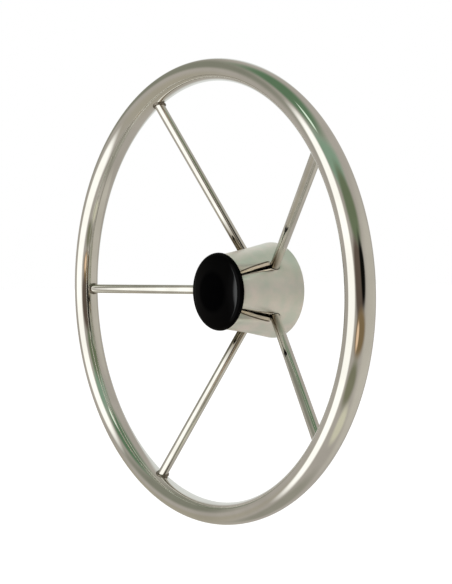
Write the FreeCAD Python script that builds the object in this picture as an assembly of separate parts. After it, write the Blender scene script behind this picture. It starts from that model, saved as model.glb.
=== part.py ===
import FreeCAD, Part
import math
import os

# Dished boat steering wheel: an oval tube rim, five straight round spokes that lean back to a
# hub with a conical sheet shell, a turned boss with a keyed taper bore, and a push-in cap.
#
# Frame, in millimetres: the wheel turns about Y. The helmsman looks along +Y at the wheel's face,
# with +X to the right and +Z up. The origin is the centre of the boss's rear face, where the helm
# shaft comes in, so the rest of the wheel is in front of it and has a negative y.

# Rim
wheel_diameter = 350.0
rim_height = 15.6
rim_depth = 22.6
rim_wall = 1.5
dish_depth = 81.4

# Spokes
spoke_count = 5
spoke_diameter = 8.0
spoke_foot = 15.3
first_spoke_angle = 180.0
spoke_into_rim = 4.0
spoke_into_boss = 5.0

# Boss
boss_diameter = 40.0
boss_length = 34.0
boss_chamfer = 1.0
taper_large_diameter = 19.05
taper_length = 27.0
taper_ratio = 1.0 / 12.0
keyway_width = 4.8
keyway_depth = 2.3

# Hub shell, a sheet cone with a slightly hollow side and a flange for the cap
shell_back_diameter = 80.0
shell_front_diameter = 58.8
shell_length = 55.0
shell_hollow = 0.5
shell_sheet = 1.2
boss_proud = 1.0
cap_opening_diameter = 50.0
spoke_hole_clearance = 0.3

# Valleys pressed into the shell from its front edge to each spoke, with a slit along their roots
valley_front_width = 11.0
valley_middle_width = 9.4
valley_back_width = 8.4
valley_front_depth = 10.0
valley_middle_depth = 5.6
valley_back_depth = 1.4
valley_root_radius = 0.8
valley_lip_radius = 5.0
slit_front_width = 0.9
slit_back_width = 3.6

# Back plate
plate_thickness = 1.5

# Cap
cap_diameter = 62.0
cap_edge = 4.0
cap_front_radius = 4.5
cap_back_radius = 0.8
cap_dome = 4.5
cap_wall = 2.0
skirt_length = 9.0
skirt_wall = 1.8
skirt_clearance = 0.3
skirt_gap_width = 10.4

# Welds
rim_weld_size = 1.2
boss_weld_size = 1.6
plate_weld_size = 0.8

# Places that follow from the sizes
ORIGIN = FreeCAD.Vector(0, 0, 0)
AXIS = FreeCAD.Vector(0, 1, 0)
beyond = 5.0
ring_radius = (wheel_diameter - rim_height) / 2
rim_y = -dish_depth
spoke_radius = spoke_diameter / 2
spoke_step = 360.0 / spoke_count
spoke_angles = [first_spoke_angle + i * spoke_step for i in range(spoke_count)]
boss_radius = boss_diameter / 2
boss_front_y = -boss_length
shell_back_y = -boss_proud
shell_front_y = shell_back_y - shell_length
hole_radius = spoke_radius + spoke_hole_clearance
skirt_radius = cap_opening_diameter / 2 - skirt_clearance


def at(radius, y):
    """A point in the half plane from which everything round is turned."""
    return FreeCAD.Vector(radius, y, 0)


def turned(shape, angle):
    """Carries a shape from the half plane at +X to the one at this angle, seen from the front."""
    return shape.rotated(ORIGIN, AXIS, -angle)


def all_round(shape):
    """The same shape at every spoke, as one compound to cut with."""
    return Part.makeCompound([turned(shape, angle) for angle in spoke_angles])


def revolved(edges):
    """A closed outline turned once about the wheel's axis."""
    return Part.Face(Part.Wire(edges)).revolve(ORIGIN, AXIS, 360)


def straight_outline(points):
    """Straight edges round these points, and back to the first."""
    return [Part.makeLine(a, b) for a, b in zip(points, points[1:] + points[:1])]


def round_bar(radius, front_y, back_y):
    """A plain cylinder on the wheel's axis."""
    return Part.makeCylinder(radius, back_y - front_y, at(0, front_y), AXIS)


# Rim and spokes
def spoke_axis_y(radius):
    """Where a spoke's centre line lies at this radius, from its foot on the boss to the rim's middle."""
    slope = (dish_depth - spoke_foot) / (ring_radius - boss_radius)
    return -spoke_foot - slope * (radius - boss_radius)


def spoke_bar(bar_radius, inner, outer):
    """A round bar on the spoke line of the first half plane, between two wheel radii."""
    start, end = at(inner, spoke_axis_y(inner)), at(outer, spoke_axis_y(outer))
    return Part.makeCylinder(bar_radius, (end - start).Length, start, end - start)


def make_spoke():
    rim_inside = ring_radius - rim_height / 2
    return spoke_bar(spoke_radius, boss_radius - spoke_into_boss, rim_inside + spoke_into_rim)


def ring(margin):
    """A solid ring with the rim's oval section and this margin all round it."""
    centre = at(ring_radius, rim_y)
    tall = centre + FreeCAD.Vector(rim_height / 2 + margin, 0, 0)
    deep = centre + FreeCAD.Vector(0, rim_depth / 2 + margin, 0)
    oval = Part.Ellipse(deep, tall, centre).toShape()
    return turned(revolved([oval]), spoke_step / 2)


def make_rim(spokes):
    return ring(0).cut(ring(-rim_wall)).cut(Part.makeCompound(spokes))


def weld(spoke, surface, wider_surface, size, middle_radius):
    """A rounded bead round a spoke where it goes into a surface."""
    bar = spoke_bar(spoke_radius + size, middle_radius - beyond, middle_radius + beyond)
    collar = bar.common(wider_surface)
    brim = [e for e in collar.Edges if isinstance(e.Curve, Part.BSplineCurve)]
    return collar.makeFillet(0.9 * size, brim).cut(surface).cut(spoke)


# Hub shell
def shell_radius(y):
    """The outer radius of the shell's side: a straight cone hollowed towards its middle."""
    share = (y - shell_front_y) / shell_length
    straight = shell_front_diameter / 2 * (1 - share) + shell_back_diameter / 2 * share
    return straight - 4 * shell_hollow * share * (1 - share)


def shell_body(inset, front_y, back_y):
    """The solid within the shell's side between two planes, moved in by inset."""
    front, back = at(shell_radius(front_y) - inset, front_y), at(shell_radius(back_y) - inset, back_y)
    middle_y = (front_y + back_y) / 2
    side = Part.Arc(front, at(shell_radius(middle_y) - inset, middle_y), back).toShape()
    return revolved([
        side,
        Part.makeLine(back, at(0, back_y)),
        Part.makeLine(at(0, back_y), at(0, front_y)),
        Part.makeLine(at(0, front_y), front),
    ])


def spoke_entry_y():
    """Where a spoke's centre line goes through the shell's side, found by halving."""
    low, high = shell_front_y, shell_back_y
    for _ in range(30):
        middle = (low + high) / 2
        if spoke_axis_y(shell_radius(middle)) > middle:
            low = middle
        else:
            high = middle
    return low


def valley_section(y, width, depth, grow):
    """A V with a round root, as wide as given at the shell's side, grown by the sheet for its inside."""
    root_radius = valley_root_radius + grow
    root = at(shell_radius(y) - depth + valley_root_radius, y)
    lip = FreeCAD.Vector(depth - valley_root_radius, 0, width / 2)
    turn = math.atan2(lip.z, lip.x) + math.acos(valley_root_radius / lip.Length)
    foot = root + FreeCAD.Vector(math.cos(turn), 0, math.sin(turn)) * root_radius
    top = foot + FreeCAD.Vector(math.sin(turn), 0, -math.cos(turn)) * (lip.Length + beyond)
    far_foot = FreeCAD.Vector(foot.x, y, -foot.z)
    far_top = FreeCAD.Vector(top.x, y, -top.z)
    return Part.Wire([
        Part.makeLine(top, foot),
        Part.Arc(foot, root - at(root_radius, 0), far_foot).toShape(),
        Part.makeLine(far_foot, far_top),
        Part.makeLine(far_top, top),
    ])


def valley(grow):
    """The hollow of one valley, from the shell's front edge to the spoke's centre line."""
    front, back = shell_front_y, spoke_entry_y()
    middle = (front + back) / 2
    return Part.makeLoft([
        valley_section(front, valley_front_width, valley_front_depth, grow),
        valley_section(middle, valley_middle_width, valley_middle_depth, grow),
        valley_section(back, valley_back_width, valley_back_depth, grow),
    ], True, False)


def slit():
    """A wedge that parts the sheet along a valley's root, wider towards the spoke."""
    front, back = shell_front_y, spoke_entry_y()
    corners = [
        FreeCAD.Vector(0, front, -slit_front_width / 2),
        FreeCAD.Vector(0, back, -slit_back_width / 2),
        FreeCAD.Vector(0, back, slit_back_width / 2),
        FreeCAD.Vector(0, front, slit_front_width / 2),
    ]
    return Part.Face(Part.Wire(straight_outline(corners))).extrude(at(shell_back_diameter, 0))


def is_lip(edge, inset):
    """True for the long edges where a valley's flanks meet the shell's side, moved in by inset."""
    middle = edge.valueAt((edge.FirstParameter + edge.LastParameter) / 2)
    off_side = math.hypot(middle.x, middle.z) - shell_radius(middle.y) + inset
    is_long = edge.BoundBox.YLength > shell_length / 3
    return is_long and abs(off_side) < valley_root_radius and isinstance(edge.Curve, Part.BSplineCurve)


def valleyed(body, inset):
    """A solid shell body with the valleys pressed in and their lips rolled over."""
    body = body.cut(all_round(valley(inset)))
    return body.makeFillet(valley_lip_radius - inset, [edge for edge in body.Edges if is_lip(edge, inset)])


def make_shell():
    outside = valleyed(shell_body(0, shell_front_y, shell_back_y), 0)
    inside = valleyed(shell_body(shell_sheet, shell_front_y + shell_sheet, shell_back_y), shell_sheet)
    shell = outside.cut(inside)
    opening = round_bar(cap_opening_diameter / 2, shell_front_y - beyond, shell_front_y + shell_sheet)
    spoke_hole = spoke_bar(hole_radius, boss_radius, shell_back_diameter)
    return shell.cut(opening).cut(all_round(spoke_hole)).cut(all_round(slit()))


# Boss and back plate
def make_boss(spokes):
    small_radius = (taper_large_diameter - taper_ratio * taper_length) / 2
    boss = revolved(straight_outline([
        at(taper_large_diameter / 2, 0),
        at(small_radius, -taper_length),
        at(small_radius, boss_front_y),
        at(boss_radius - boss_chamfer, boss_front_y),
        at(boss_radius, boss_front_y + boss_chamfer),
        at(boss_radius, -boss_chamfer),
        at(boss_radius - boss_chamfer, 0),
    ]))
    top = taper_large_diameter / 2 + keyway_depth
    keyway = Part.makeBox(keyway_width, boss_length + beyond, top)
    keyway.translate(FreeCAD.Vector(-keyway_width / 2, boss_front_y - beyond, 0))
    tilt = math.degrees(math.atan(taper_ratio / 2))
    keyway.rotate(FreeCAD.Vector(0, 0, top), FreeCAD.Vector(1, 0, 0), tilt)
    return boss.cut(keyway).cut(Part.makeCompound(spokes))


def make_back_plate():
    plate = shell_body(shell_sheet, shell_back_y - plate_thickness, shell_back_y)
    return plate.cut(round_bar(boss_radius, shell_front_y, beyond))


def make_plate_weld():
    return revolved(straight_outline([
        at(boss_radius, shell_back_y),
        at(boss_radius, shell_back_y + plate_weld_size),
        at(boss_radius + plate_weld_size, shell_back_y),
    ]))


# Cap
def dome(radius, height, base_y):
    """The solid under a shallow round dome that stands forward of base_y."""
    ball_radius = (radius ** 2 + height ** 2) / (2 * height)
    half_turn = math.asin(radius / ball_radius) / 2
    drop = ball_radius * (1 - math.cos(half_turn))
    edge, top = at(radius, base_y), at(0, base_y - height)
    middle = at(ball_radius * math.sin(half_turn), base_y - height + drop)
    return revolved([
        Part.Arc(edge, middle, top).toShape(),
        Part.makeLine(top, at(0, base_y)),
        Part.makeLine(at(0, base_y), edge),
    ])


def rings_at(shape, y):
    """The round edges of a turned shape that lie in one plane across the wheel's axis."""
    near = 0.01
    return [e for e in shape.Edges if abs(e.BoundBox.YMax - y) < near and e.BoundBox.YLength < near]


def make_cap():
    face_y = shell_front_y - cap_edge
    head = round_bar(cap_diameter / 2, face_y, shell_front_y).fuse(dome(cap_diameter / 2, cap_dome, face_y))
    head = head.makeFillet(cap_front_radius, rings_at(head, face_y))
    head = head.makeFillet(cap_back_radius, rings_at(head, shell_front_y))
    skirt_end_y = shell_front_y + skirt_length
    skirt = round_bar(skirt_radius, face_y, skirt_end_y)
    hollow_radius = skirt_radius - skirt_wall
    hollow = round_bar(hollow_radius, face_y, skirt_end_y)
    hollow = hollow.fuse(dome(hollow_radius, cap_dome - cap_wall, face_y))
    gap = Part.makeBox(cap_diameter, skirt_length, skirt_gap_width)
    gap.translate(FreeCAD.Vector(hollow_radius / 2, shell_front_y, -skirt_gap_width / 2))
    return head.fuse(skirt).cut(hollow).cut(all_round(gap))


def main():
    spoke = make_spoke()
    spokes = [turned(spoke, angle) for angle in spoke_angles]
    boss_bar = round_bar(boss_radius, boss_front_y, 0)
    wide_boss_bar = round_bar(boss_radius + boss_weld_size, boss_front_y, 0)
    rim_weld = weld(spoke, ring(0), ring(rim_weld_size), rim_weld_size, ring_radius - rim_height / 2)
    boss_weld = weld(spoke, boss_bar, wide_boss_bar, boss_weld_size, boss_radius)
    parts = {
        "rim": make_rim(spokes),
        "hub_shell": make_shell(),
        "hub_boss": make_boss(spokes),
        "back_plate": make_back_plate(),
        "plate_weld": make_plate_weld(),
        "centre_cap": make_cap(),
    }
    for number, angle in enumerate(spoke_angles, 1):
        parts["spoke_%d" % number] = turned(spoke, angle)
        parts["rim_weld_%d" % number] = turned(rim_weld, angle)
        parts["boss_weld_%d" % number] = turned(boss_weld, angle)

    os.makedirs("parts", exist_ok=True)
    for name, shape in parts.items():
        print(name, shape.isValid(), len(shape.Solids), round(shape.Volume, 1))
        shape.exportStep("parts/%s.step" % name)


main()
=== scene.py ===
import math
import bpy
from mathutils import Matrix, Vector


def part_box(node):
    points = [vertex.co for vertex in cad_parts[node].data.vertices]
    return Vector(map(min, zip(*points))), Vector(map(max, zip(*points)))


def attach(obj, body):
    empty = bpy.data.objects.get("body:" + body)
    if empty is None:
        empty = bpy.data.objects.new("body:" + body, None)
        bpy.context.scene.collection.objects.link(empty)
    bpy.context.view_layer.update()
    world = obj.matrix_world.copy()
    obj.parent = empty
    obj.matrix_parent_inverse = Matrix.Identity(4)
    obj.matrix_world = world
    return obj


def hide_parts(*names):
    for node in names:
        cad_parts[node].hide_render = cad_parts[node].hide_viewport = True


# A dished boat steering wheel in polished stainless steel with a black cap. Metres, in the
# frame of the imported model: the wheel turns about Y, its face looks towards -Y, and +Z is up.
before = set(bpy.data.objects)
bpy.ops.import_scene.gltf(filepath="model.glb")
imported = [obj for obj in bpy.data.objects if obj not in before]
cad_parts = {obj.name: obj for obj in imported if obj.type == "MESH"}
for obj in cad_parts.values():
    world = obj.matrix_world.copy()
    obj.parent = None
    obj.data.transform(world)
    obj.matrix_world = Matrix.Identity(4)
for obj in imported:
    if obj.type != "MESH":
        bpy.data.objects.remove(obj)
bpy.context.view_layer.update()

MM = 0.001
TURN = 2 * math.pi

# Rim and spokes, as built
wheel_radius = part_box("rim")[1].x
rim_height = 15.6 * MM
rim_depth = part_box("rim")[1].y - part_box("rim")[0].y
rim_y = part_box("rim")[0].y + rim_depth / 2
ring_radius = wheel_radius - rim_height / 2
boss_radius = 20.0 * MM
spoke_count = 5
spoke_radius = 4.0 * MM
spoke_edge = 0.4 * MM
spoke_foot_y = -15.3 * MM
spoke_into_boss = 5.0 * MM
spoke_into_rim = 4.0 * MM
spoke_inner_radius = boss_radius - spoke_into_boss
spoke_outer_radius = ring_radius - rim_height / 2 + spoke_into_rim
# Where the painted shade on the spokes' feet fades out
spoke_shade_end = 66.0 * MM
first_spoke_angle = 180
spoke_angles = [math.radians(first_spoke_angle + 360 / spoke_count * i) for i in range(spoke_count)]

# Hub shell, as built
shell_front_y = -56.0 * MM
shell_back_y = -1.0 * MM
shell_front_radius = 29.4 * MM
shell_back_radius = 40.0 * MM
shell_hollow = 0.5 * MM
shell_sheet = 1.2 * MM
shell_edge = 0.8 * MM
cap_opening_radius = 25.0 * MM
spoke_hole_radius = spoke_radius + 0.3 * MM

# Pressed valleys, at the shell's front, half way to the spoke, and at the spoke
valley_half_widths = (5.5 * MM, 4.7 * MM, 4.2 * MM)
valley_depths = (10.0 * MM, 5.6 * MM, 1.4 * MM)
valley_root_radius = 0.8 * MM
valley_lip_radius = 5.0 * MM
slit_half_widths = (0.45 * MM, 1.125 * MM, 1.8 * MM)
flange_tuck = 1.1 * shell_sheet

# Painted highlight strips beside the slits, at the shell's front and where they end
seam_half_widths = (1.3 * MM, 4.3 * MM)
seam_end_y = -27.0 * MM
seam_fade = 3 * MM

# Boss, back plate and welds
boss_front_y = -34.0 * MM
boss_chamfer = 1.0 * MM
boss_edge = 0.15 * MM
taper_large_radius = 9.525 * MM
taper_small_radius = 8.4 * MM
taper_length = 27.0 * MM
keyway_width = 4.8 * MM
keyway_depth = 2.3 * MM
keyway_length = 1.2 * taper_length
plate_thickness = 1.5 * MM
plate_edge = 0.6 * MM
rim_weld_size = 1.2 * MM
plate_weld_size = 0.8 * MM

# Cap
cap_radius = 31.0 * MM
cap_edge = 4.0 * MM
cap_front_radius = 4.5 * MM
cap_back_radius = 0.8 * MM
cap_dome = 4.5 * MM
cap_wall = 2.0 * MM
cap_gloss_radii = (14.0 * MM, 18.0 * MM)
skirt_radius = cap_opening_radius - 0.3 * MM
skirt_wall = 1.8 * MM
skirt_length = 9.0 * MM
skirt_gap_width = 10.4 * MM
tongue_root = 0.1 * MM
tongue_edge = 0.2 * MM

# Mesh steps: points round a section, columns round the wheel's axis, rows along the shell
rim_sides = 96
rim_steps = 400
bar_sides = 64
turned_steps = 160
cap_steps = 180
shell_columns = 120
shell_row_shares = (0.07, 0.2, 0.36, 0.52, 0.68, 0.84, 1.0)
shell_rows_behind_spoke = (4.9 * MM, 9 * MM)
shell_rows_before_back = (8 * MM, 2 * MM, 0.4 * MM, 0)
lip_steps = 3
flank_row_share = 0.4
halvings = 30

# Finishes: smudge values between which tint and gloss change, and edges of the painted highlight strip
# and painted shadow line beside a slit
tint_limits = (0.38, 0.62)
gloss_limits = (0.3, 0.7)
painted_highlight_limits = (0.85, 1.0)
painted_shadow_limits = (0.05, 0.2)
mark_depth = 0.05 * MM
grain_depth = 0.02 * MM

# Camera, found by laying the modelled rim and spokes over the photograph
image_width = 452
image_height = 584
focal_length_pixels = 770.7
sensor_size = 36.0
camera_azimuth = math.radians(50.67)
camera_elevation = math.radians(-0.88)
camera_roll = math.radians(0.72)
wheel_phase = math.radians(-1.69)
camera_offset = Vector((0.0250, 0.0004, 0.5942))

# Studio. Azimuths run from -Y, the wheel's face, towards +X, in degrees
floor_z = -0.6
floor_glow = 0.55
world_light = 0.6
surround_radius = 2.5
surround_above_floor = 0.05
card_colour = (0.46, 0.43, 0.39)

# Tones over the grey card, each over the last: middle, reach each way, softness of the edge, colour
surround_tones = [
    ("low_left", (-75, -42), (50, 25), 0.5, (0.42, 0.39, 0.32)),
    ("high_left", (-68, 38), (48, 26), 0.5, (0.25, 0.255, 0.205)),
    ("backdrop", (-132, 12), (18, 30), 0.3, (0.78, 0.80, 0.78)),
    ("ceiling", (0, 90), (900, 26), 0.4, (0.13, 0.22, 0.13)),
    ("high_right", (75, 52), (55, 12), 0.4, (0.26, 0.38, 0.28)),
    ("skylight", (70, 75), (14, 8), 0.3, (0.87, 1.05, 0.87)),
    ("hedge", (90, 34), (30, 17), 0.35, (0.16, 0.20, 0.12)),
    ("shade", (77, 5), (26, 16), 0.25, (0.13, 0.10, 0.08)),
    ("doorway", (99, 8), (12, 14), 0.35, (0.005, 0.005, 0.004)),
    ("right_card", (152, -15), (40, 45), 0.3, (0.57, 0.54, 0.48)),
    ("wood", (86, -15), (26, 9), 0.3, (0.24, 0.17, 0.09)),
    ("brass", (74, -16), (7, 5), 0.4, (0.95, 0.68, 0.46)),
    ("lawn", (78, -33), (24, 8), 0.4, (0.22, 0.22, 0.15)),
    ("low_right", (92, -49), (22, 7), 0.4, (0.68, 0.66, 0.52)),
    ("underside", (0, -90), (900, 20), 0.4, (0.33, 0.32, 0.27)),
    ("window", (9, -3), (36, 57), 0.17, (1.30, 1.29, 1.24)),
    ("strip", (-19, -1), (3.8, 22), 0.45, (21, 21.5, 21.5)),
]


# Mesh making
def deselect_all():
    bpy.ops.object.select_all(action="DESELECT")


def to_edit_mode():
    bpy.ops.object.mode_set(mode="EDIT")


def to_object_mode():
    bpy.ops.object.mode_set(mode="OBJECT")


def new_piece(name):
    """The object that was just added, under its own name."""
    piece = bpy.context.object
    piece.name = name
    piece.data.name = name
    return piece


def select_points(piece, test):
    """In edit mode, selects only the points whose place passes the test."""
    bpy.ops.mesh.select_mode(type="VERT")
    bpy.ops.mesh.select_all(action="DESELECT")
    to_object_mode()
    for point in piece.data.vertices:
        point.select = test(point.co)
    to_edit_mode()


def select_faces(piece, test):
    """In edit mode, selects only the faces whose centre passes the test."""
    bpy.ops.mesh.select_mode(type="FACE")
    bpy.ops.mesh.select_all(action="DESELECT")
    to_object_mode()
    for face in piece.data.polygons:
        face.select = test(face.center)
    to_edit_mode()


def fix_place():
    """Puts the active piece's place, turn and scale into its mesh."""
    to_object_mode()
    bpy.ops.object.transform_apply(location=True, rotation=True, scale=True)


def close_and_face_out():
    """Joins doubled points and turns every face outwards."""
    bpy.ops.mesh.select_all(action="SELECT")
    bpy.ops.mesh.remove_doubles(threshold=0.001 * MM)
    bpy.ops.mesh.normals_make_consistent(inside=False)


def pick(piece):
    """Makes a piece the active one, and the only one that is selected."""
    deselect_all()
    piece.select_set(True)
    bpy.context.view_layer.objects.active = piece


def smooth(piece, angle):
    """Smooth shading but for edges sharper than this angle in degrees."""
    pick(piece)
    bpy.ops.object.shade_smooth_by_angle(angle=math.radians(angle))


def at(radius, y):
    return Vector((radius, y, 0))


def arc(centre_x, centre_y, radius, start, end, steps):
    """Points on an arc in the half plane at +X, from one angle in degrees to another."""
    points = []
    for i in range(steps + 1):
        angle = math.radians(start + (end - start) * i / steps)
        points.append(at(centre_x + radius * math.cos(angle), centre_y + radius * math.sin(angle)))
    return points


def trace(name, points):
    """Draws a wire point by point in the half plane at +X."""
    deselect_all()
    bpy.ops.mesh.primitive_plane_add(size=MM, location=points[0])
    piece = new_piece(name)
    to_edit_mode()
    bpy.ops.mesh.select_mode(type="VERT")
    bpy.ops.mesh.merge(type="CENTER")
    for start, end in zip(points, points[1:]):
        bpy.ops.mesh.extrude_region_move(TRANSFORM_OT_translate={"value": end - start})
    return piece


def turn_round(steps):
    """Spins the wire in hand once about the wheel's axis and closes the seam."""
    bpy.ops.mesh.select_all(action="SELECT")
    bpy.ops.mesh.spin(steps=steps, angle=TURN, center=(0, 0, 0), axis=(0, 1, 0))
    close_and_face_out()
    fix_place()


def turned_piece(name, points, steps):
    piece = trace(name, points)
    turn_round(steps)
    return piece


def cut_away(piece, cutter):
    """Cuts one mesh out of a piece and removes the cutter."""
    pick(piece)
    cut = piece.modifiers.new("cut", "BOOLEAN")
    cut.operation = "DIFFERENCE"
    cut.solver = "EXACT"
    cut.object = cutter
    bpy.ops.object.modifier_apply(modifier=cut.name)
    bpy.data.objects.remove(cutter)


def round_edges(piece, width, angle=30, segments=3):
    """Rounds every edge of a piece that is sharper than this angle in degrees."""
    pick(piece)
    bevel = piece.modifiers.new("round", "BEVEL")
    bevel.width = width
    bevel.segments = segments
    bevel.limit_method = "ANGLE"
    bevel.angle_limit = math.radians(angle)
    bpy.ops.object.modifier_apply(modifier=bevel.name)


def subdivide(piece, levels):
    pick(piece)
    surface = piece.modifiers.new("surface", "SUBSURF")
    surface.levels = levels
    surface.render_levels = levels
    bpy.ops.object.modifier_apply(modifier=surface.name)


def about_axis(angle):
    """Turns a vector in the half plane at +X to the one at this angle, seen from the front."""
    return Matrix.Rotation(-angle, 3, "Y")


def spoke_axis_y(radius):
    """A spoke's centre line, from its foot on the boss to the rim's middle."""
    share = (radius - boss_radius) / (ring_radius - boss_radius)
    return spoke_foot_y + share * (rim_y - spoke_foot_y)


def spoke_line(inner, outer, angle):
    """Both ends of a spoke's centre line between two wheel radii."""
    turn = about_axis(angle)
    return turn @ at(inner, spoke_axis_y(inner)), turn @ at(outer, spoke_axis_y(outer))


def add_bar(name, radius, start, end):
    """A round bar between two points."""
    deselect_all()
    run = end - start
    bpy.ops.mesh.primitive_cylinder_add(
        vertices=bar_sides, radius=radius, depth=run.length, location=(start + end) / 2,
        rotation=run.to_track_quat("Z", "Y").to_euler())
    return new_piece(name)


# Pieces
def make_rim():
    """An oval drawn as a squashed circle, spun round the wheel."""
    deselect_all()
    middle = at(ring_radius, rim_y)
    bpy.ops.mesh.primitive_circle_add(vertices=rim_sides, radius=rim_height / 2, location=middle)
    piece = new_piece("rim_tube")
    to_edit_mode()
    bpy.ops.transform.resize(value=(1, rim_depth / rim_height, 1), center_override=middle)
    turn_round(rim_steps)
    smooth(piece, angle=60)
    return piece


def make_spoke(number, angle):
    start, end = spoke_line(spoke_inner_radius, spoke_outer_radius, angle)
    piece = add_bar("spoke_bar_%d" % number, spoke_radius, start, end)
    fix_place()
    round_edges(piece, spoke_edge)
    smooth(piece, angle=30)
    return piece


def make_rim_weld(number, angle):
    """A low bead round a spoke's end, drawn out along the lean."""
    entry_radius = ring_radius - rim_height / 2
    place = about_axis(angle) @ at(entry_radius, spoke_axis_y(entry_radius))
    deselect_all()
    bpy.ops.mesh.primitive_torus_add(
        location=place, rotation=(0, math.pi / 2 - angle, 0), major_segments=72, minor_segments=20,
        major_radius=spoke_radius, minor_radius=rim_weld_size)
    piece = new_piece("rim_bead_%d" % number)
    to_edit_mode()
    lean = math.atan2(spoke_foot_y - rim_y, ring_radius - boss_radius)
    bpy.ops.transform.resize(value=(1, 1 / math.cos(lean), 1), center_override=place)
    fix_place()
    smooth(piece, angle=60)
    return piece


def shell_radius(y):
    """The shell's outer radius: a straight cone, slightly hollowed towards its middle."""
    share = (y - shell_front_y) / (shell_back_y - shell_front_y)
    straight = shell_front_radius * (1 - share) + shell_back_radius * share
    return straight - 4 * shell_hollow * share * (1 - share)


def spoke_entry_y():
    """Where a spoke's centre line goes through the shell's side, found by halving."""
    low, high = shell_front_y, shell_back_y
    for _ in range(halvings):
        middle = (low + high) / 2
        if spoke_axis_y(shell_radius(middle)) > middle:
            low = middle
        else:
            high = middle
    return low


def between(values, share):
    """A smooth run through three values, at shares 0, 1/2 and 1."""
    front, middle, back = values
    bend = 2 * (front + back - 2 * middle)
    return front + (back - front - bend) * share + bend * share * share


def valley_outline(y, share):
    """Half of a valley's section as distances from the axis and angles from its middle, root first."""
    radius = shell_radius(y)
    half_width = between(valley_half_widths, share)
    half_slit = between(slit_half_widths, share)
    root = Vector((radius - between(valley_depths, share) + valley_root_radius, 0))
    to_lip = Vector((radius, half_width)) - root
    lean = math.atan2(to_lip.y, to_lip.x) - math.asin(valley_root_radius / to_lip.length)
    flank = Vector((math.cos(lean), math.sin(lean)))
    into_sheet = Vector((-flank.y, flank.x))
    foot = root + valley_root_radius * into_sheet
    if half_slit < foot.y:
        slit_edge = root + Vector((-math.sqrt(valley_root_radius ** 2 - half_slit ** 2), half_slit))
    else:
        slit_edge = foot + flank * (half_slit - foot.y) / flank.y

    start = foot + valley_lip_radius * into_sheet
    along = start.dot(flank)
    run = math.sqrt(along ** 2 - start.length_squared + (radius - valley_lip_radius) ** 2) - along
    centre = start + run * flank
    flank_end = foot + run * flank
    first, last = lean - math.pi / 2, math.atan2(centre.y, centre.x)
    on_flank = slit_edge.lerp(flank_end, flank_row_share)
    points = [root - Vector((valley_root_radius, 0)), slit_edge, on_flank, flank_end]
    for i in range(1, lip_steps + 1):
        angle = first + i / lip_steps * (last - first)
        points.append(centre + valley_lip_radius * Vector((math.cos(angle), math.sin(angle))))
    return [(point.length, math.atan2(point.y, point.x)) for point in points]


def slide_column(piece, row_y, row_radius, column, step, side, new_radius, new_angle):
    """Moves one column of one row at every valley: round to its new angle, then in or out."""
    row_room, column_room = 0.05 * MM, 0.1 * step

    def in_column(place):
        off_row = abs(place.y - row_y) + abs(math.hypot(place.x, place.z) - row_radius)
        turned = math.atan2(place.z, place.x) - side * column * step - spoke_angles[0]
        return off_row < row_room and abs(math.remainder(turned, TURN / spoke_count)) < column_room

    select_points(piece, in_column)
    move = side * (new_angle - column * step)
    bpy.ops.transform.rotate(value=move, orient_axis="Y", center_override=(0, row_y, 0))
    inwards = new_radius / row_radius
    bpy.ops.transform.resize(value=(inwards, 1, inwards), center_override=(0, row_y, 0))


def shell_rows(entry_y):
    """Radii and places of the rows that the valleys bend, from the opening back, and of the rest."""
    front = shell_radius(shell_front_y)
    run = entry_y - shell_front_y
    bent = [(cap_opening_radius, shell_front_y), (front - 2 * shell_edge, shell_front_y)]
    bent += [(front - shell_edge / 2, shell_front_y), (front, shell_front_y + shell_edge / 2)]
    places = [shell_front_y + share * run for share in shell_row_shares]
    bent += [(shell_radius(y), y) for y in places]
    places = [entry_y + gap for gap in shell_rows_behind_spoke]
    places += [shell_back_y - gap for gap in shell_rows_before_back]
    return bent, [(shell_radius(y), y) for y in places]


def press_valleys(piece, rows, entry_y):
    """Draws the columns beside each spoke together and presses them in, row by row."""
    step = TURN / shell_columns
    front = shell_radius(shell_front_y)
    for row_radius, y in rows:
        flange_share = (front - row_radius) / (front - cap_opening_radius) if y == shell_front_y else 0
        share = min(1.0, (y - shell_front_y) / (entry_y - shell_front_y))
        for column, (radius, angle) in enumerate(valley_outline(y, share)):
            new_radius = min(row_radius, radius - flange_tuck * flange_share)
            for side in (1, -1):
                if column or side == 1:
                    slide_column(piece, y, row_radius, column, step, side, new_radius, angle)


def open_sheet(piece, entry_y, bars):
    """Deletes the two end discs, the slits, and the walls that the cutting bars left."""
    hole_reach = 1.005 * spoke_hole_radius
    disc_reach = 1.0 * MM

    def is_open(place):
        radius = math.hypot(place.x, place.z)
        turned = math.remainder(math.atan2(place.z, place.x) - spoke_angles[0], TURN / spoke_count)
        half_slit = between(slit_half_widths, (place.y - shell_front_y) / (entry_y - shell_front_y))
        in_slit = abs(turned) * radius < half_slit and place.y < entry_y
        in_hole = any(
            (place - start).cross((end - start).normalized()).length < hole_reach
            and (place - start).dot(end - start) > 0 for start, end in bars)
        return radius < disc_reach or in_slit or in_hole

    select_faces(piece, is_open)
    bpy.ops.mesh.delete(type="FACE")


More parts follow.
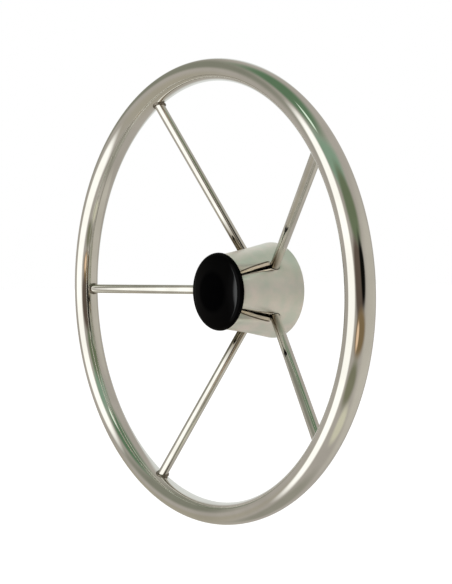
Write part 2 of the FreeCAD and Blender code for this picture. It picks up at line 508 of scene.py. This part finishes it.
def make_shell():
    """A profile spun into a skin that is pressed, smoothed, opened and then thickened inwards."""
    entry_y = spoke_entry_y()
    bent_rows, plain_rows = shell_rows(entry_y)
    piece = trace("hub_shell_sheet", [at(radius, y) for radius, y in bent_rows + plain_rows])
    turn_round(shell_columns)
    to_edit_mode()
    press_valleys(piece, bent_rows, entry_y)
    to_object_mode()
    subdivide(piece, 2)

    to_edit_mode()
    bpy.ops.mesh.select_mode(type="VERT")
    bpy.ops.mesh.select_all(action="SELECT")
    bpy.ops.mesh.fill_holes(sides=0)
    bpy.ops.mesh.normals_make_consistent(inside=False)
    to_object_mode()
    past_shell = shell_back_radius + 10 * MM
    bars = [spoke_line(boss_radius, past_shell, angle) for angle in spoke_angles]
    for start, end in bars:
        cut_away(piece, add_bar("hole", spoke_hole_radius, start, end))

    pick(piece)
    to_edit_mode()
    open_sheet(piece, entry_y, bars)
    to_object_mode()
    wall = piece.modifiers.new("wall", "SOLIDIFY")
    wall.thickness = shell_sheet
    wall.offset = -1
    bpy.ops.object.modifier_apply(modifier=wall.name)
    smooth(piece, angle=50)
    return piece


def ball_radius(radius, height):
    """The radius of the ball that a dome of this width and height is part of."""
    return (radius ** 2 + height ** 2) / (2 * height)


def cap_face_points(face_y):
    """The cap's dome from its middle, rounded over into its side, and rounded again at its back."""
    ball = ball_radius(cap_radius, cap_dome)
    ball_y = face_y - cap_dome + ball
    turn_x = cap_radius - cap_front_radius
    turn_y = ball_y - math.sqrt((ball - cap_front_radius) ** 2 - turn_x ** 2)
    tilt = math.degrees(math.atan2(turn_x, ball_y - turn_y))
    back_y = shell_front_y - cap_back_radius
    reach = cap_front_radius - cap_back_radius
    join = math.degrees(math.asin((back_y - turn_y) / reach))
    back_x = turn_x + reach * math.cos(math.radians(join))
    points = arc(0, ball_y, ball, -90, tilt - 90, steps=30)
    points += arc(turn_x, turn_y, cap_front_radius, tilt - 90, join, steps=20)[1:]
    return points + arc(back_x, back_y, cap_back_radius, join, 90, steps=6)[1:]


def make_cap():
    """A hollow turned cap, whose skirt is then parted into one tongue between each two spokes."""
    face_y = shell_front_y - cap_edge
    hollow_radius = skirt_radius - skirt_wall
    hollow_height = cap_dome - cap_wall
    ball = ball_radius(hollow_radius, hollow_height)
    half = math.degrees(math.asin(hollow_radius / ball))
    skirt_end_y = shell_front_y + skirt_length
    inside = arc(0, face_y - hollow_height + ball, ball, half - 90, -90, steps=12)
    outline = cap_face_points(face_y) + [at(skirt_radius, shell_front_y)]
    outline += [at(skirt_radius, skirt_end_y), at(hollow_radius, skirt_end_y)] + inside
    piece = turned_piece("cap_moulding", outline, cap_steps)
    for angle in spoke_angles:
        place = about_axis(angle) @ at(skirt_radius, skirt_end_y)
        deselect_all()
        bpy.ops.mesh.primitive_cube_add(
            size=1, location=place, rotation=(0, -angle, 0),
            scale=(4 * skirt_wall, 2 * (skirt_length - tongue_root), skirt_gap_width))
        cutter = new_piece("slot")
        fix_place()
        cut_away(piece, cutter)
    round_edges(piece, tongue_edge, angle=40, segments=2)
    smooth(piece, angle=40)
    return piece


def make_boss():
    """The turned boss with its taper, and a keyway cut in from the rear."""
    outline = [
        at(taper_large_radius, 0),
        at(taper_small_radius, -taper_length),
        at(taper_small_radius, boss_front_y),
        at(boss_radius - boss_chamfer, boss_front_y),
        at(boss_radius, boss_front_y + boss_chamfer),
        at(boss_radius, -boss_chamfer),
        at(boss_radius - boss_chamfer, 0),
        at(taper_large_radius, 0),
    ]
    piece = turned_piece("boss_turning", outline, turned_steps)
    top = taper_large_radius + keyway_depth
    deselect_all()
    middle = Vector((0, 0, top / 2))
    bpy.ops.mesh.primitive_cube_add(size=1, location=middle)
    keyway = new_piece("keyway")
    to_edit_mode()
    bpy.ops.transform.resize(value=(keyway_width, 2 * keyway_length, top), center_override=middle)
    fix_place()
    cut_away(piece, keyway)
    round_edges(piece, boss_edge, segments=2)
    smooth(piece, angle=30)
    return piece


def make_back_plate():
    outer = shell_radius(shell_back_y) - shell_sheet
    outline = [
        at(boss_radius, shell_back_y),
        at(outer - plate_edge, shell_back_y),
        at(outer, shell_back_y - plate_edge),
        at(outer, shell_back_y - plate_thickness),
        at(boss_radius, shell_back_y - plate_thickness),
        at(boss_radius, shell_back_y),
    ]
    piece = turned_piece("back_disc", outline, turned_steps)
    smooth(piece, angle=30)
    return piece


def make_plate_weld():
    corner = at(boss_radius, shell_back_y)
    bead = arc(boss_radius, shell_back_y, plate_weld_size, 90, 0, steps=6)
    piece = turned_piece("plate_bead", [corner] + bead + [corner], turned_steps)
    smooth(piece, angle=60)
    return piece


# Materials
def new_material(name):
    """A material, its node tree and its shader."""
    material = bpy.data.materials.new(name)
    material.use_nodes = True
    return material, material.node_tree, material.node_tree.nodes["Principled BSDF"]


def new_group(name, *outputs):
    """A node group with these numbers as results, and the node that takes them."""
    group = bpy.data.node_groups.new(name, "ShaderNodeTree")
    for output in outputs:
        group.interface.new_socket(output, in_out="OUTPUT", socket_type="NodeSocketFloat")
    return group, group.nodes.new("NodeGroupOutput")


def use_group(tree, group):
    node = tree.nodes.new("ShaderNodeGroup")
    node.node_tree = group
    return node


def feed(tree, socket, value):
    """Joins a socket to another one, or gives it a plain number, vector or colour."""
    if isinstance(value, bpy.types.NodeSocket):
        tree.links.new(value, socket)
    elif socket.type == "RGBA":
        socket.default_value = (*value, 1)
    else:
        socket.default_value = value


def maths(tree, operation, *values):
    node = tree.nodes.new("ShaderNodeMath")
    node.operation = operation
    for socket, value in zip(node.inputs, values):
        feed(tree, socket, value)
    return node.outputs[0]


def vector_maths(tree, operation, result, *values):
    node = tree.nodes.new("ShaderNodeVectorMath")
    node.operation = operation
    for socket, value in zip(node.inputs, values):
        feed(tree, socket, value)
    return node.outputs[result]


def ramp(tree, value, start, end, low=0.0, high=1.0, style="LINEAR"):
    """Runs from low to high while the value runs from start to end."""
    node = tree.nodes.new("ShaderNodeMapRange")
    node.interpolation_type = style
    limits = (("From Min", start), ("From Max", end), ("To Min", low), ("To Max", high))
    for name, number in (("Value", value), *limits):
        feed(tree, node.inputs[name], number)
    return node.outputs["Result"]


def fade(tree, value, start, end):
    """Runs softly from 1 down to 0 while the value runs from start to end."""
    return ramp(tree, value, start, end, low=1.0, high=0.0, style="SMOOTHSTEP")


def mixed(tree, share, first, second, kind="RGBA"):
    """Goes from the first colour or number to the second with the share."""
    node = tree.nodes.new("ShaderNodeMix")
    node.data_type = kind
    for name, value in (("Factor", share), ("A", first), ("B", second)):
        feed(tree, node.inputs[name], value)
    return node.outputs["Result"]


def noise(tree, place, scale, detail):
    node = tree.nodes.new("ShaderNodeTexNoise")
    for name, value in (("Vector", place), ("Scale", scale), ("Detail", detail)):
        feed(tree, node.inputs[name], value)
    return node.outputs["Fac"]


def put_relief(tree, shader, height, strength, distance):
    """Bumps a shader's surface."""
    relief = tree.nodes.new("ShaderNodeBump")
    for name, value in (("Height", height), ("Strength", strength), ("Distance", distance)):
        feed(tree, relief.inputs[name], value)
    feed(tree, shader.inputs["Normal"], relief.outputs["Normal"])


def object_place(tree):
    """A point's place in its object's own frame, which for every piece here is the wheel's."""
    return tree.nodes.new("ShaderNodeTexCoord").outputs["Object"]


def coordinates(tree, place):
    split = tree.nodes.new("ShaderNodeSeparateXYZ")
    feed(tree, split.inputs[0], place)
    return split.outputs


def axis_distance(tree, place):
    """A place's distance from the wheel's axis."""
    flat = vector_maths(tree, "MULTIPLY", "Vector", place, (1, 0, 1))
    return vector_maths(tree, "LENGTH", "Value", flat)


def marks_group():
    """Fine marks that run round the wheel's axis, and broad smudges, as a polishing wheel leaves them."""
    group, outputs = new_group("polishing_marks", "Marks", "Smudges")
    for name in ("Around", "Across", "Smudge Scale"):
        group.interface.new_socket(name, in_out="INPUT", socket_type="NodeSocketFloat")
    inputs = group.nodes.new("NodeGroupInput").outputs
    place = object_place(group)
    x, y, z = coordinates(group, place)
    angle, radius = maths(group, "ARCTAN2", z, x), axis_distance(group, place)
    stretched = group.nodes.new("ShaderNodeCombineXYZ")
    for socket, value, scale in zip(stretched.inputs, (angle, radius, y), ("Around", "Across", "Across")):
        feed(group, socket, maths(group, "MULTIPLY", value, inputs[scale]))
    marks = noise(group, stretched.outputs[0], scale=1.0, detail=4.0)
    smudges = noise(group, place, inputs["Smudge Scale"], detail=5.0)
    feed(group, outputs.inputs["Marks"], marks)
    feed(group, outputs.inputs["Smudges"], smudges)
    return group


def steel_material(name, group, colours, roughness, bump, around, across, smudge_scale):
    """Stainless steel, smudged between two colours and two roughnesses, with fine marks as bump."""
    material, tree, shader = new_material(name)
    shader.inputs["Metallic"].default_value = 1.0
    marks = use_group(tree, group)
    marks.inputs["Around"].default_value = around
    marks.inputs["Across"].default_value = across
    marks.inputs["Smudge Scale"].default_value = smudge_scale
    smudges = marks.outputs["Smudges"]
    tint = mixed(tree, ramp(tree, smudges, *tint_limits), *colours)
    feed(tree, shader.inputs["Base Color"], tint)
    feed(tree, shader.inputs["Roughness"], ramp(tree, smudges, *gloss_limits, *roughness))
    put_relief(tree, shader, marks.outputs["Marks"], bump, mark_depth)
    return material


def painted_foot_shade_group():
    """Painted shade on the front of every spoke's foot, standing in for the hub's dark reflection, fading
    out along the spoke.
    """
    group, outputs = new_group("painted_foot_shade", "Shade")
    place = object_place(group)
    radius = axis_distance(group, place)
    axis_y = ramp(group, radius, boss_radius, ring_radius, spoke_foot_y, rim_y)
    before_axis = maths(group, "SUBTRACT", axis_y, coordinates(group, place)["Y"])
    ahead = ramp(group, before_axis, 0.0, spoke_radius, style="SMOOTHSTEP")
    near = fade(group, radius, shell_back_radius, spoke_shade_end)
    feed(group, outputs.inputs["Shade"], maths(group, "MULTIPLY", ahead, near))
    return group


def bar_material(group, colours):
    """The spokes' polished bar, with painted brown shade near the hub where the hub's dark reflection
    would fall.
    """
    material = steel_material(
        "polished_bar", group, colours, roughness=(0.05, 0.10), bump=0.08, around=40, across=1500,
        smudge_scale=60)
    tree = material.node_tree
    base = tree.nodes["Principled BSDF"].inputs["Base Color"]
    shade = use_group(tree, painted_foot_shade_group()).outputs["Shade"]
    # Painted shade: a brown colour standing in for the hub's dark reflection
    painted_shade_colour = (0.20, 0.17, 0.12)
    feed(tree, base, mixed(tree, shade, base.links[0].from_socket, painted_shade_colour))
    return material


def painted_seam_light_group():
    """Along every valley's root a painted highlight strip, and a painted brown shadow line at its edge.
    """
    group, outputs = new_group("painted_seam_light", "Strip", "Line")
    place = object_place(group)
    x, y, z = coordinates(group, place)
    angle = maths(group, "ADD", maths(group, "ARCTAN2", z, x), math.pi)
    from_root = maths(group, "PINGPONG", angle, math.pi / spoke_count)
    across = maths(group, "MULTIPLY", axis_distance(group, place), from_root)
    half_width = ramp(group, y, shell_front_y, seam_end_y, *seam_half_widths)
    share = maths(group, "DIVIDE", across, half_width)
    off_line = maths(group, "ABSOLUTE", maths(group, "SUBTRACT", share, 1.0))
    before_spoke = fade(group, y, seam_end_y, seam_end_y + seam_fade)
    # The painted highlight strip beside the valley root, and the painted shadow line at its edge
    strip = fade(group, share, *painted_highlight_limits)
    line = fade(group, off_line, *painted_shadow_limits)
    feed(group, outputs.inputs["Strip"], maths(group, "MULTIPLY", strip, before_spoke))
    feed(group, outputs.inputs["Line"], maths(group, "MULTIPLY", line, before_spoke))
    return group


def sheet_material(group):
    """The hub's satin sheet: soft green and pink blotches, and a painted highlight strip and painted
    shadow line along its seams.
    """
    blotches = ((0.82, 0.865, 0.775), (0.985, 0.93, 0.865))
    # Colours of the painted highlight on the valley wall and of the painted shadow line at its edge
    painted_highlight_colour, painted_shadow_colour = (1.0, 0.90, 0.72), (0.09, 0.06, 0.035)
    sheet_metallic, strip_metallic, strip_roughness = 0.77, 0.35, 0.2
    material = steel_material(
        "polished_sheet", group, blotches, roughness=(0.36, 0.46), bump=0.10, around=4, across=1800,
        smudge_scale=55)
    tree = material.node_tree
    inputs = tree.nodes["Principled BSDF"].inputs
    strip, line = use_group(tree, painted_seam_light_group()).outputs
    colour = mixed(tree, strip, inputs["Base Color"].links[0].from_socket, painted_highlight_colour)
    feed(tree, inputs["Base Color"], mixed(tree, line, colour, painted_shadow_colour))
    rough = inputs["Roughness"].links[0].from_socket
    feed(tree, inputs["Roughness"], mixed(tree, strip, rough, strip_roughness, "FLOAT"))
    feed(tree, inputs["Metallic"], ramp(tree, strip, 0.0, 1.0, sheet_metallic, strip_metallic))
    return material


def black_plastic():
    """Black moulded plastic with a fine grain, and a thin clear gloss outside the middle of the cap."""
    material, tree, shader = new_material("black_moulding")
    place = object_place(tree)
    grain = noise(tree, place, scale=260.0, detail=3.0)
    blacks = ((0.0003, 0.0003, 0.0004), (0.001, 0.001, 0.0012))
    feed(tree, shader.inputs["Base Color"], mixed(tree, grain, *blacks))
    feed(tree, shader.inputs["Roughness"], ramp(tree, grain, 0.0, 1.0, low=0.08, high=0.12))
    clear_gloss = ramp(tree, axis_distance(tree, place), *cap_gloss_radii, high=0.08)
    feed(tree, shader.inputs["Coat Weight"], clear_gloss)
    shader.inputs["Coat Roughness"].default_value = 0.0
    shader.inputs["Specular IOR Level"].default_value = 0.004
    put_relief(tree, shader, grain, strength=0.15, distance=grain_depth)
    return material


def seen_rays(tree):
    """1 for the rays that look at the background: the camera's, and those off metal or through glass."""
    path = tree.nodes.new("ShaderNodeLightPath").outputs
    either = maths(tree, "MAXIMUM", path["Is Camera Ray"], path["Is Glossy Ray"])
    return maths(tree, "MAXIMUM", either, path["Is Transmission Ray"])


def floor_material():
    """Pale floor, with enough glow for the rays that see it to reach the backdrop's white."""
    material, tree, shader = new_material("pale_floor")
    shader.inputs["Base Color"].default_value = (0.8, 0.8, 0.8, 1)
    shader.inputs["Roughness"].default_value = 0.8
    feed(tree, shader.inputs["Emission Color"], mixed(tree, seen_rays(tree), (0, 0, 0), (1, 1, 1)))
    shader.inputs["Emission Strength"].default_value = floor_glow
    return material


def surround_material():
    """The grey cards round the wheel: plain tones that run into each other, laid out by direction."""
    material, tree, shader = new_material("grey_cards")
    tree.nodes.remove(shader)
    place = object_place(tree)
    x, y, z = coordinates(tree, place)
    from_front = maths(tree, "ARCTAN2", x, maths(tree, "MULTIPLY", y, -1.0))
    lift = maths(tree, "DIVIDE", z, vector_maths(tree, "LENGTH", "Value", place))
    direction = tree.nodes.new("ShaderNodeCombineXYZ")
    feed(tree, direction.inputs[0], maths(tree, "DEGREES", from_front))
    feed(tree, direction.inputs[1], maths(tree, "DEGREES", maths(tree, "ARCSINE", lift)))

    # Only the cap's clear gloss shows the narrow strip lamp
    in_clear_gloss = tree.nodes.new("ShaderNodeLightPath").outputs["Is Singular Ray"]
    colour = card_colour
    for name, centre, reach, soft, tone in surround_tones:
        offset = vector_maths(tree, "SUBTRACT", "Vector", direction.outputs[0], (*centre, 0))
        share = vector_maths(tree, "DIVIDE", "Vector", offset, (*reach, 1))
        far = vector_maths(tree, "LENGTH", "Value", share)
        inside = fade(tree, far, 1 - soft, 1 + soft)
        if name == "strip":
            inside = maths(tree, "MULTIPLY", inside, in_clear_gloss)
        colour = mixed(tree, inside, colour, tone)
    glow = tree.nodes.new("ShaderNodeEmission")
    feed(tree, glow.inputs["Color"], colour)
    feed(tree, tree.nodes["Material Output"].inputs["Surface"], glow.outputs[0])
    return material


# Scene
def dress(piece, material, slot, body, *nodes):
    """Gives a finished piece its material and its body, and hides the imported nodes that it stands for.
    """
    piece.data.materials.clear()
    piece.data.materials.append(material)
    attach(piece, body)
    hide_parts(*nodes)


def dress_node(name, material):
    """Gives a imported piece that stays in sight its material."""
    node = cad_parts[name]
    node.data.materials.clear()
    node.data.materials.append(material)


def make_camera():
    """The photograph's camera, as turns of the wheel before it and an offset from the rim's centre."""
    to_camera = Matrix.Rotation(camera_roll, 3, "Z") @ Matrix.Rotation(-camera_azimuth, 3, "Y")
    to_camera = to_camera @ Matrix.Rotation(-camera_elevation, 3, "X")
    to_camera = to_camera @ Matrix.Rotation(wheel_phase, 3, "Z")
    from_wheel = Matrix.Rotation(math.pi / 2, 3, "X")
    turn = from_wheel @ to_camera.transposed()
    camera = bpy.data.objects.new("camera", bpy.data.cameras.new("camera"))
    bpy.context.scene.collection.objects.link(camera)
    place = Vector((0, rim_y, 0)) + turn @ camera_offset
    camera.matrix_world = Matrix.Translation(place) @ turn.to_4x4()
    camera.data.sensor_fit = "AUTO"
    camera.data.sensor_width = sensor_size
    camera.data.lens = focal_length_pixels * sensor_size / max(image_width, image_height)
    camera.data.clip_start = 0.01
    camera.data.clip_end = 30
    bpy.context.scene.camera = camera


def make_world():
    """White where it is seen, and a softer light on the object."""
    world = bpy.data.worlds.new("studio")
    world.use_nodes = True
    bpy.context.scene.world = world
    background = world.node_tree.nodes["Background"]
    background.inputs["Color"].default_value = (1, 1, 1, 1)
    level = ramp(world.node_tree, seen_rays(world.node_tree), 0.0, 1.0, low=world_light)
    feed(world.node_tree, background.inputs["Strength"], level)


def make_floor():
    deselect_all()
    bpy.ops.mesh.primitive_plane_add(size=40, location=(0, 0, floor_z))
    floor = new_piece("floor")
    floor.data.materials.append(floor_material())


def only_in_reflections(card):
    card.visible_camera = False
    card.visible_diffuse = False
    card.visible_transmission = False
    card.visible_shadow = False


def make_surround():
    """A round tent of grey card above the floor."""
    deselect_all()
    bpy.ops.mesh.primitive_uv_sphere_add(segments=96, ring_count=48, radius=surround_radius)
    tent = new_piece("grey_tent")
    foot_z = floor_z + surround_above_floor
    to_edit_mode()
    select_points(tent, lambda place: place.z < foot_z)
    bpy.ops.transform.resize(value=(1, 1, 0), center_override=(0, 0, foot_z))
    to_object_mode()
    tent.data.materials.append(surround_material())
    only_in_reflections(tent)


def make_lamp(name, place, size, power):
    """A square soft lamp that looks at the wheel."""
    lamp = bpy.data.objects.new(name, bpy.data.lights.new(name, "AREA"))
    lamp.data.size = size
    lamp.data.energy = power
    lamp.location = place
    lamp.rotation_euler = (Vector((0, rim_y, 0)) - Vector(place)).to_track_quat("-Z", "Y").to_euler()
    lamp.visible_glossy = False
    bpy.context.scene.collection.objects.link(lamp)


def main():
    group = marks_group()
    polished = ((0.74, 0.73, 0.69), (0.82, 0.81, 0.77))
    turned = ((0.55, 0.54, 0.52), (0.66, 0.65, 0.62))
    rolled = ((0.58, 0.57, 0.54), (0.66, 0.65, 0.62))
    scorched = ((0.16, 0.14, 0.11), (0.34, 0.31, 0.27))
    tube = steel_material(
        "polished_tube", group, polished, roughness=(0.03, 0.07), bump=0.02, around=40, across=900,
        smudge_scale=25)
    bar = bar_material(group, polished)
    sheet = sheet_material(group)
    turning = steel_material(
        "turned_steel", group, turned, roughness=(0.2, 0.32), bump=0.5, around=1, across=2200,
        smudge_scale=80)
    disc = steel_material(
        "plain_sheet", group, rolled, roughness=(0.25, 0.36), bump=0.2, around=9, across=1200,
        smudge_scale=60)
    bead = steel_material(
        "weld_metal", group, scorched, roughness=(0.22, 0.42), bump=0.6, around=30, across=700,
        smudge_scale=600)
    moulding = black_plastic()

    dress(make_rim(), tube, "polished_tube", "wheel", "rim")
    for number, angle in enumerate(spoke_angles, 1):
        dress(make_spoke(number, angle), bar, "polished_bar", "wheel", "spoke_%d" % number)
        dress(make_rim_weld(number, angle), bead, "weld_metal", "wheel", "rim_weld_%d" % number)
        dress_node("boss_weld_%d" % number, bead)
    dress(make_shell(), sheet, "polished_sheet", "wheel", "hub_shell")
    dress(make_boss(), turning, "turned_steel", "wheel", "hub_boss")
    dress(make_back_plate(), disc, "plain_sheet", "wheel", "back_plate")
    dress(make_plate_weld(), bead, "weld_metal", "wheel", "plate_weld")
    dress(make_cap(), moulding, "black_plastic", "cap", "centre_cap")

    make_camera()
    make_world()
    make_floor()
    make_surround()
    make_lamp("key_lamp", place=(0.6, -2.0, 1.6), size=1.4, power=26.0)
    bpy.context.scene.view_settings.view_transform = "Standard"


main()
